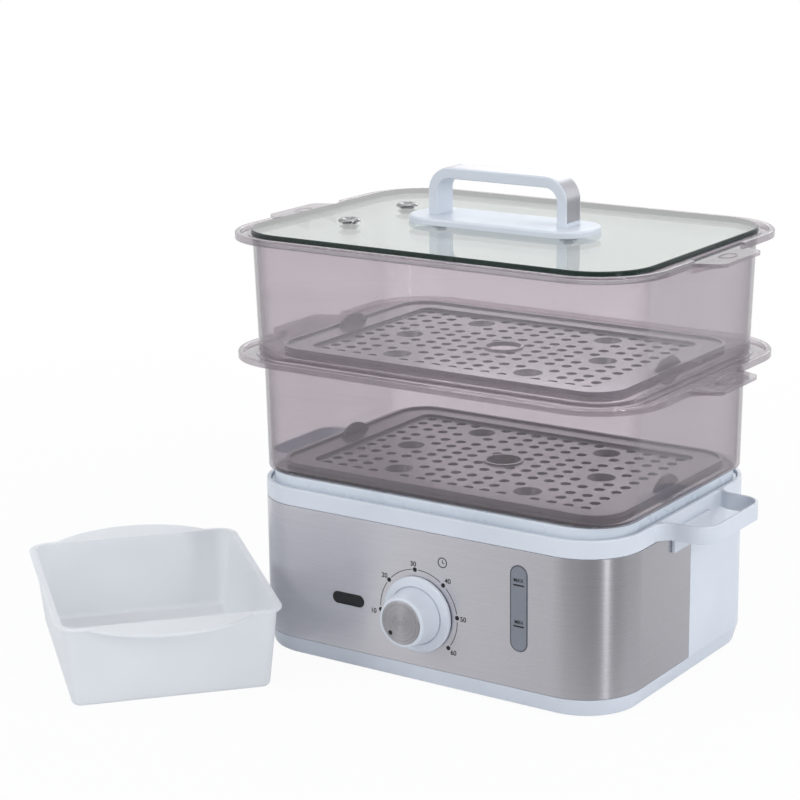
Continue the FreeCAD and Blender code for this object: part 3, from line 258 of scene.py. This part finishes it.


# see-through plastics and glass

# clear is what a face lets through, deep the same edge on, body the plastic's own tone,
# veil how much of the body shows, gleam how glossy it is as a share of the plain sheen
smokedCommon = {
    "cloud": 14, "patches": 50, "speck": 900, "dents": 0.02, "dentDepth": 0.1, "edge": 0.3,
    "edgeOn": 3.0, "cloudShare": 0.985, "lampShare": 0.76, "straight": 0.025, "gleam": 1.0,
    "veilTilt": 0.9, "veilSwing": 0.06, "roughSwing": 0.06, "glossRough": 0.6,
}
smokedLooks = {
    "smokedPlastic": {"clear": (248, 245, 247), "deep": (108, 102, 110), "body": (186, 178, 184),
                      "veil": 0.10, "rough": 0.11},
    "trayPlastic": {"clear": (216, 212, 218), "deep": (128, 123, 131), "body": (166, 161, 169),
                    "veil": 0.56, "rough": 0.13},
    # painted shade: a darker copy of the tray plastic for the lower tray, which lies over the base
    # where less light comes in; its gloss is cut to paint a dimmer reflection
    "shadedTray": {"clear": (196, 191, 197), "deep": (92, 87, 94), "body": (122, 116, 123),
                 "veil": 0.62, "rough": 0.18, "gleam": 0.3},
    "clearTube": {"clear": (226, 230, 232), "deep": (150, 156, 160), "body": (200, 204, 206),
                  "veil": 0.12, "rough": 0.12},
    "neonGlass": {"clear": (240, 210, 196), "deep": (180, 130, 110), "body": (220, 160, 130),
                  "veil": 0.25, "rough": 0.08},
}


def smokedSheet(name, look):
    # tinted clear plastic, darker where the wall is seen edge on, under a thin gloss
    material, tree = newMaterial(name)
    cloud = grain(tree, look["cloud"], detail=3)
    facing = add(tree, "LayerWeight", {"Blend": 0.5}).outputs["Facing"]
    clear, veil, rough = tone(*look["clear"]), look["veil"], look["rough"]
    seen = blendColours(tree, spread(tree, cloud, 0, 1), clear, dimmed(clear, look["cloudShare"]))
    # the plastic holds back more of the lamps' light than it hides from the eye
    shaded = add(tree, "LightPath").outputs["Is Shadow Ray"]
    passed = blendColours(tree, shaded, seen, dimmed(clear, look["lampShare"]))
    steep = sums(tree, "POWER", facing, look["edgeOn"])
    tint = blendColours(tree, steep, passed, tone(*look["deep"]))
    through = add(tree, "BsdfTransparent", {"Color": tint})
    normal = roundedBump(tree, look, grain(tree, look["speck"]))
    skin = add(tree, "BsdfPrincipled", {
        "Base Color": tone(*look["body"]),
        "Roughness": spread(tree, grain(tree, look["patches"]), rough, rough + look["roughSwing"]),
        "Normal": normal,
    })
    tilted = sums(tree, "MULTIPLY", facing, veil * look["veilTilt"])
    patchy = spread(tree, cloud, veil * (1 - look["veilSwing"]), veil * (1 + look["veilSwing"]))
    cover = sums(tree, "ADD", tilted, patchy)
    sheet = mixShaders(tree, cover, through.outputs["BSDF"], skin.outputs["BSDF"])
    gloss = add(tree, "BsdfGlossy", {
        "Color": white, "Roughness": rough * look["glossRough"], "Normal": normal,
    })
    mirrored = sums(tree, "MULTIPLY", sheen(tree, look["straight"]), look["gleam"])
    finishMaterial(tree, mixShaders(tree, mirrored, sheet, gloss.outputs["BSDF"]))
    return material


# the rice bowl's cloudy plastic: share is how much of its light glows through the wall
milkyLook = {
    "body": (237, 240, 244), "glow": (252, 253, 254), "share": 0.4, "rough": 0.3, "roughSwing": 0.1,
    "cloud": 18, "cloudShare": 0.96, "patches": 60, "pebble": 1100,
    "dents": 0.05, "dentDepth": 0.1, "edge": 0.4,
}


def milkySheet(name, look):
    # scatters light back from its face and lets part of it through
    material, tree = newMaterial(name)
    cloud = spread(tree, grain(tree, look["cloud"], detail=3), 0, 1)
    normal = roundedBump(tree, look, grain(tree, look["pebble"]))
    body, rough = tone(*look["body"]), look["rough"]
    skin = add(tree, "BsdfPrincipled", {
        "Base Color": blendColours(tree, cloud, body, dimmed(body, look["cloudShare"])),
        "Roughness": spread(tree, grain(tree, look["patches"]), rough, rough + look["roughSwing"]),
        "Normal": normal,
    })
    inside = add(tree, "BsdfTranslucent", {"Color": tone(*look["glow"]), "Normal": normal})
    finishMaterial(tree, mixShaders(tree, look["share"], skin.outputs["BSDF"], inside.outputs["BSDF"]))
    return material


# the lid's glass: pale green through its faces, deep green along its ground edge
glassLook = {
    "clear": ((240, 246, 243), (236, 243, 240)), "cloud": 8, "straight": 0.04, "rough": 0.02,
    "edge": ((16, 34, 30), (30, 52, 46)), "edgeGrain": 700, "edgeRough": 0.2, "faceSlope": 0.9,
}


def glassSheet(name, look):
    # a surface that stands steeper than faceSlope counts as the ground edge
    material, tree = newMaterial(name)
    clear = [tone(*colour) for colour in look["clear"]]
    edge = [tone(*colour) for colour in look["edge"]]
    cloud = spread(tree, grain(tree, look["cloud"]), 0, 1)
    through = add(tree, "BsdfTransparent", {"Color": blendColours(tree, cloud, *clear)})
    gloss = add(tree, "BsdfGlossy", {"Color": white, "Roughness": look["rough"]})
    mirrored = sheen(tree, look["straight"])
    face = mixShaders(tree, mirrored, through.outputs["BSDF"], gloss.outputs["BSDF"])
    ground = add(tree, "BsdfPrincipled", {
        "Base Color": blendColours(tree, spread(tree, grain(tree, look["edgeGrain"]), 0, 1), *edge),
        "Roughness": look["edgeRough"],
    })
    normal = add(tree, "SeparateXYZ", {0: add(tree, "NewGeometry").outputs["Normal"]})
    upright = sums(tree, "LESS_THAN", sums(tree, "ABSOLUTE", normal.outputs["Z"]), look["faceSlope"])
    finishMaterial(tree, mixShaders(tree, upright, face, ground.outputs["BSDF"]))
    return material


materials = {}
for name, look in mouldedLooks.items():
    materials[name] = mouldedPlastic(name, mouldedCommon | look)
for name, look in brushedLooks.items():
    materials[name] = brushedMetal(name, brushedCommon | look)
for name, look in smokedLooks.items():
    materials[name] = smokedSheet(name, smokedCommon | look)
materials["knobMetal"] = spunMetal("knobMetal", spunLook)
materials["bowlPlastic"] = milkySheet("bowlPlastic", milkyLook)
materials["lidGlass"] = glassSheet("lidGlass", glassLook)
say("finishes are mixed")

# which finish each material slot of the solids takes
slotFinish = {
    "white_plastic": "whitePlastic", "drip_plastic": "dripPlastic", "tank_plastic": "tankPlastic",
    "brushed_steel": "brushedSteel", "grip_steel": "gripSteel", "smoked_plastic": "smokedPlastic",
    "tray_plastic": "trayPlastic", "lid_glass": "lidGlass", "vent_metal": "ventMetal",
    "bowl_plastic": "bowlPlastic", "black_lens": "blackLens", "window_lens": "windowLens",
    "clear_tube": "clearTube", "rubber": "rubberFoot", "plain_steel": "plainSteel",
    "heater_metal": "heaterMetal", "knob_metal": "knobMetal", "black_ink": "blackInk",
    "gear_brass": "gearBrass", "neon_glass": "neonGlass", "inner_plastic": "innerPlastic",
}
# the lower tray takes the darker copy of the tray plastic, which paints its shade
ownFinish = {"lower_tray": "shadedTray"}
for nodeName, node in nodes.items():
    for slot in node.material_slots:
        usual = slotFinish[slot.material.name.split(".")[0]]
        slot.material = materials[ownFinish.get(nodeName, usual)]
say("finishes are on the solids")


# printed marks

# in millimetres on upright faces: outlines and places are (x, z), face is the surface's y
ink = {
    "thick": 0.06, "lift": 0.01, "bold": 0.018, "slab": 0.001,
    "dotSteps": 32, "arcSteps": 24, "endSteps": 28,
}
# a mark is its dot's angle and its number's place, a hand its place from the clock and its size
dial = {
    "face": -112.3, "centre": (0.0, 52.0), "ring": 31.6, "dot": 1.65, "line": 0.5, "gap": 5.0,
    "digits": 3.6,
    "marks": {"10": (185, -37.2, 47.4), "20": (140, -28.0, 75.0), "30": (95, -4.0, 87.5),
              "40": (50, 24.0, 80.0), "50": (5, 36.4, 54.6), "60": (-40, 28.4, 29.0)},
    "clock": (19.8, 92.4), "clockRadius": 3.4, "clockLine": 0.7,
    "hands": (((0, 0.85), (0.56, 2.3)), ((0.8, -0.2), (1.8, 0.56))),
}
# the window's table also holds the width and inset of a painted shade line in the seam round its edge
window = {
    "face": -112.6, "centre": (80.5, 70.9), "width": 13.4, "height": 61.0, "rim": 0.55, "shadeInset": 0.1,
    "words": {"MAX": 90.9, "MIN": 61.4}, "bars": {"MAX": 87.4, "MIN": 58.4},
    "wordHeight": 2.6, "bar": (8.2, 1.1),
}


def flatShape(mesh, outline, face):
    # a thin slab of ink: its front, and sides that run back to just above the surface
    front = [mesh.verts.new((x * mm, (face - ink["thick"]) * mm, z * mm)) for x, z in outline]
    back = [mesh.verts.new((x * mm, (face - ink["lift"]) * mm, z * mm)) for x, z in outline]
    mesh.faces.new(front)
    for index in range(len(outline)):
        following = (index + 1) % len(outline)
        mesh.faces.new((front[following], front[index], back[index], back[following]))


def around(centre, radius, angles):
    x, z = centre
    return [(x + radius * math.cos(angle), z + radius * math.sin(angle)) for angle in angles]


def ringPiece(centre, inner, outer, start, end, steps):
    angles = [math.radians(start + (end - start) * index / steps) for index in range(steps + 1)]
    return around(centre, outer, angles) + around(centre, inner, angles)[::-1]


def disc(centre, radius):
    steps = ink["dotSteps"]
    return around(centre, radius, [math.tau * index / steps for index in range(steps)])


def bar(centre, width, height):
    x, z = centre
    return [(x - width / 2, z - height / 2), (x + width / 2, z - height / 2),
            (x + width / 2, z + height / 2), (x - width / 2, z + height / 2)]


def writeWord(mesh, word, centre, height, face):
    # lettering from Blender's own font, scaled to its printed height and stood upright
    curve = bpy.data.curves.new("word", "FONT")
    curve.body = word
    curve.size = 1.0
    curve.offset = ink["bold"]
    curve.align_x = "CENTER"
    curve.extrude = ink["slab"]
    holder = bpy.data.objects.new("word", curve)
    bpy.context.scene.collection.objects.link(holder)
    bpy.context.view_layer.update()
    made = bpy.data.meshes.new_from_object(holder.evaluated_get(bpy.context.evaluated_depsgraph_get()))
    tall = [vertex.co.y for vertex in made.vertices]
    wide = [vertex.co.x for vertex in made.vertices]
    size = height * mm / (max(tall) - min(tall))
    middle = Vector(((max(wide) + min(wide)) / 2, (max(tall) + min(tall)) / 2, 0))
    depth = face - ink["thick"] / 2 - ink["lift"]
    made.transform(Matrix.Translation(-middle))
    made.transform(Matrix.Diagonal((size, size, ink["thick"] * mm / (2 * ink["slab"]), 1)))
    made.transform(Matrix.Rotation(math.radians(90), 4, "X"))
    made.transform(Matrix.Translation((centre[0] * mm, depth * mm, centre[1] * mm)))
    mesh.from_mesh(made)
    bpy.data.objects.remove(holder)
    bpy.data.meshes.remove(made)


def pieceFrom(mesh, name, finish, body):
    data = bpy.data.meshes.new(name)
    bmesh.ops.recalc_face_normals(mesh, faces=mesh.faces)
    mesh.to_mesh(data)
    mesh.free()
    data.materials.append(materials[finish])
    piece = bpy.data.objects.new(name, data)
    bpy.context.scene.collection.objects.link(piece)
    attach(piece, body)


def printDial():
    mesh = bmesh.new()
    face, centre, ring = dial["face"], dial["centre"], dial["ring"]
    angles = sorted(mark[0] for mark in dial["marks"].values())
    for spot in around(centre, ring, [math.radians(angle) for angle in angles]):
        flatShape(mesh, disc(spot, dial["dot"]), face)
    half = dial["line"] / 2
    for low, high in zip(angles, angles[1:]):
        start, end = low + dial["gap"], high - dial["gap"]
        arc = ringPiece(centre, ring - half, ring + half, start, end, ink["arcSteps"])
        flatShape(mesh, arc, face)
    for word, (angle, x, z) in dial["marks"].items():
        writeWord(mesh, word, (x, z), dial["digits"], face)
    clock, radius, half = dial["clock"], dial["clockRadius"], dial["clockLine"] / 2
    for start in (0, 180):
        arc = ringPiece(clock, radius - half, radius + half, start, start + 180, ink["arcSteps"])
        flatShape(mesh, arc, face)
    for (aside, above), (width, height) in dial["hands"]:
        flatShape(mesh, bar((clock[0] + aside, clock[1] + above), width, height), face)
    pieceFrom(mesh, "dial_marks", "blackInk", "base")


def printLevel():
    mesh = bmesh.new()
    x = window["centre"][0]
    for word, z in window["words"].items():
        writeWord(mesh, word, (x, z), window["wordHeight"], window["face"])
        flatShape(mesh, bar((x, window["bars"][word]), *window["bar"]), window["face"])
    pieceFrom(mesh, "level_marks", "blackInk", "base")


def shadeWindowSeam():
    # painted shade: a darker line standing for the shadow in the seam where the window's edge meets the
    # steel: two half rings and two straight sides
    mesh = bmesh.new()
    face, rim = window["face"], window["rim"]
    outer = window["width"] / 2 - window["shadeInset"]
    reach = (window["height"] - window["width"]) / 2
    x, z = window["centre"]
    for side, start in ((1, 0), (-1, 180)):
        end = ringPiece((x, z + side * reach), outer - rim, outer, start, start + 180, ink["endSteps"])
        flatShape(mesh, end, face)
        flatShape(mesh, bar((x + side * (outer - rim / 2), z), rim, 2 * reach), face)
    pieceFrom(mesh, "window_seam_shade", "seamShade", "base")


printDial()
printLevel()
shadeWindowSeam()
say("dial and level marks are printed")


# studio

# in metres: dusk points to the unlit end of the room, where no lamp stands
studio = {
    "floorSize": 30.0, "floorTone": (0.83, 0.84, 0.855, 1), "floorRough": 0.4,
    "floorGlow": 0.93, "fade": (0.45, 1.3),
    "mirrorGlow": (1.0, 0.2), "mirrorReach": (-0.05, 0.35), "mirrorShare": 0.75,
    "sky": 0.56, "skyTone": (0.97, 0.985, 1.0, 1),
    "dusk": (0.83, -0.55, 0.0), "duskDepth": 0.3, "duskReach": (0.72, 1.0),
    "aim": (0, 0, 0.15),
    "lamps": {
        "key": {"spot": (-1.5, -2.3, 1.7), "size": (1.8, 1.4), "power": 27, "tint": (1.0, 0.995, 0.99)},
        "top": {"spot": (0.0, 0.2, 2.6), "size": (2.2, 1.8), "power": 10, "tint": (0.98, 0.99, 1.0)},
        "strip": {"spot": (2.3, -1.0, 0.8), "size": (0.2, 1.5), "power": 18, "tint": (1.0, 1.0, 1.0)},
        "side": {"spot": (2.2, 1.0, 1.1), "size": (1.4, 1.4), "power": 12, "tint": (0.98, 0.99, 1.0)},
        "back": {"spot": (-0.8, 2.4, 1.5), "size": (1.6, 1.2), "power": 12, "tint": (0.97, 0.985, 1.0)},
    },
}


def towardsDusk(tree, way):
    product = add(tree, "VectorMath", {0: way, 1: studio["dusk"]}, operation="DOT_PRODUCT")
    return product.outputs["Value"]


def paintFloor():
    # matt and pale, with a glow that turns it white for the camera away from the object's shadow
    material, tree = newMaterial("paleFloor")
    matt = add(tree, "BsdfDiffuse", {"Color": studio["floorTone"], "Roughness": studio["floorRough"]})
    path = add(tree, "LightPath").outputs
    spot = add(tree, "TexCoord").outputs["Object"]
    away = add(tree, "VectorMath", {0: spot}, operation="LENGTH").outputs["Value"]
    whiter = spread(tree, away, studio["floorGlow"], 1.0, *studio["fade"])
    direct = sums(tree, "MULTIPLY", path["Is Camera Ray"], whiter)
    # painted light for metal to mirror: seen by gloss, the floor glows brighter towards the key lamp
    # and dimmer towards the unlit end
    shown = spread(tree, towardsDusk(tree, spot), *studio["mirrorGlow"], *studio["mirrorReach"])
    strength = sums(tree, "MAXIMUM", path["Is Camera Ray"], shown)
    glow = add(tree, "Emission", {"Color": white, "Strength": strength})
    mirror = sums(tree, "MAXIMUM", path["Is Glossy Ray"], path["Is Transmission Ray"])
    share = sums(tree, "MAXIMUM", direct, sums(tree, "MULTIPLY", mirror, studio["mirrorShare"]))
    finishMaterial(tree, mixShaders(tree, share, matt.outputs["BSDF"], glow.outputs["Emission"]))
    return material


def buildFloor():
    half = studio["floorSize"] / 2
    mesh = bmesh.new()
    corners = ((-half, -half), (half, -half), (half, half), (-half, half))
    mesh.faces.new([mesh.verts.new((x, y, 0)) for x, y in corners])
    data = bpy.data.meshes.new("floor")
    mesh.to_mesh(data)
    mesh.free()
    data.materials.append(paintFloor())
    floor = bpy.data.objects.new("floor", data)
    bpy.context.scene.collection.objects.link(floor)


def buildSky():
    world = bpy.data.worlds.new("studioSky")
    bpy.context.scene.world = world
    world.use_nodes = True
    tree = world.node_tree
    tree.nodes.clear()
    light = add(tree, "Background", {"Color": studio["skyTone"], "Strength": studio["sky"]})
    # white for the camera, and for gloss too except at the unlit end of the room
    way = add(tree, "TexCoord").outputs["Generated"]
    dim = spread(tree, towardsDusk(tree, way), 1.0, studio["duskDepth"], *studio["duskReach"])
    path = add(tree, "LightPath").outputs
    looked = sums(tree, "MAXIMUM", path["Is Camera Ray"], path["Is Transmission Ray"])
    bright = sums(tree, "MAXIMUM", dim, looked)
    seen = add(tree, "Background", {"Color": white, "Strength": bright})
    share = sums(tree, "MAXIMUM", looked, path["Is Glossy Ray"])
    output = tree.nodes.new("ShaderNodeOutputWorld")
    both = mixShaders(tree, share, light.outputs["Background"], seen.outputs["Background"])
    tree.links.new(both, output.inputs["Surface"])


def buildLamps():
    aim = Vector(studio["aim"])
    for name, look in studio["lamps"].items():
        lamp = bpy.data.lights.new(name, "AREA")
        lamp.shape = "RECTANGLE"
        lamp.size, lamp.size_y = look["size"]
        lamp.energy = look["power"]
        lamp.color = look["tint"]
        holder = bpy.data.objects.new(name, lamp)
        holder.location = look["spot"]
        holder.rotation_euler = (aim - Vector(look["spot"])).to_track_quat("-Z", "Y").to_euler()
        bpy.context.scene.collection.objects.link(holder)


# camera

# spot, lens and sensor in millimetres, angles in degrees, the farthest sight in metres
camera = {
    "spot": (835.4, -1367.3, 596.8), "turn": 34.072, "rise": 14.595, "roll": -0.661,
    "lens": 104.26, "sensor": 36, "farthest": 100,
}


def buildCamera():
    turn, rise, roll = (math.radians(camera[key]) for key in ("turn", "rise", "roll"))
    right = Vector((math.cos(turn), math.sin(turn), 0))
    back = Vector((math.sin(turn) * math.cos(rise), -math.cos(turn) * math.cos(rise), math.sin(rise)))
    up = back.cross(right)
    level = math.cos(roll) * right + math.sin(roll) * up
    above = math.cos(roll) * up - math.sin(roll) * right
    data = bpy.data.cameras.new("camera")
    data.lens = camera["lens"]
    data.sensor_width = camera["sensor"]
    data.clip_end = camera["farthest"]
    pose = Matrix((level, above, back)).transposed().to_4x4()
    pose.translation = Vector(camera["spot"]) * mm
    holder = bpy.data.objects.new("camera", data)
    holder.matrix_world = pose
    bpy.context.scene.collection.objects.link(holder)
    bpy.context.scene.camera = holder


buildFloor()
buildSky()
buildLamps()
buildCamera()
scene = bpy.context.scene
scene.view_settings.view_transform = "Standard"
scene.cycles.transparent_max_bounces = 48  # a line of sight crosses many clear walls
say("studio is set")
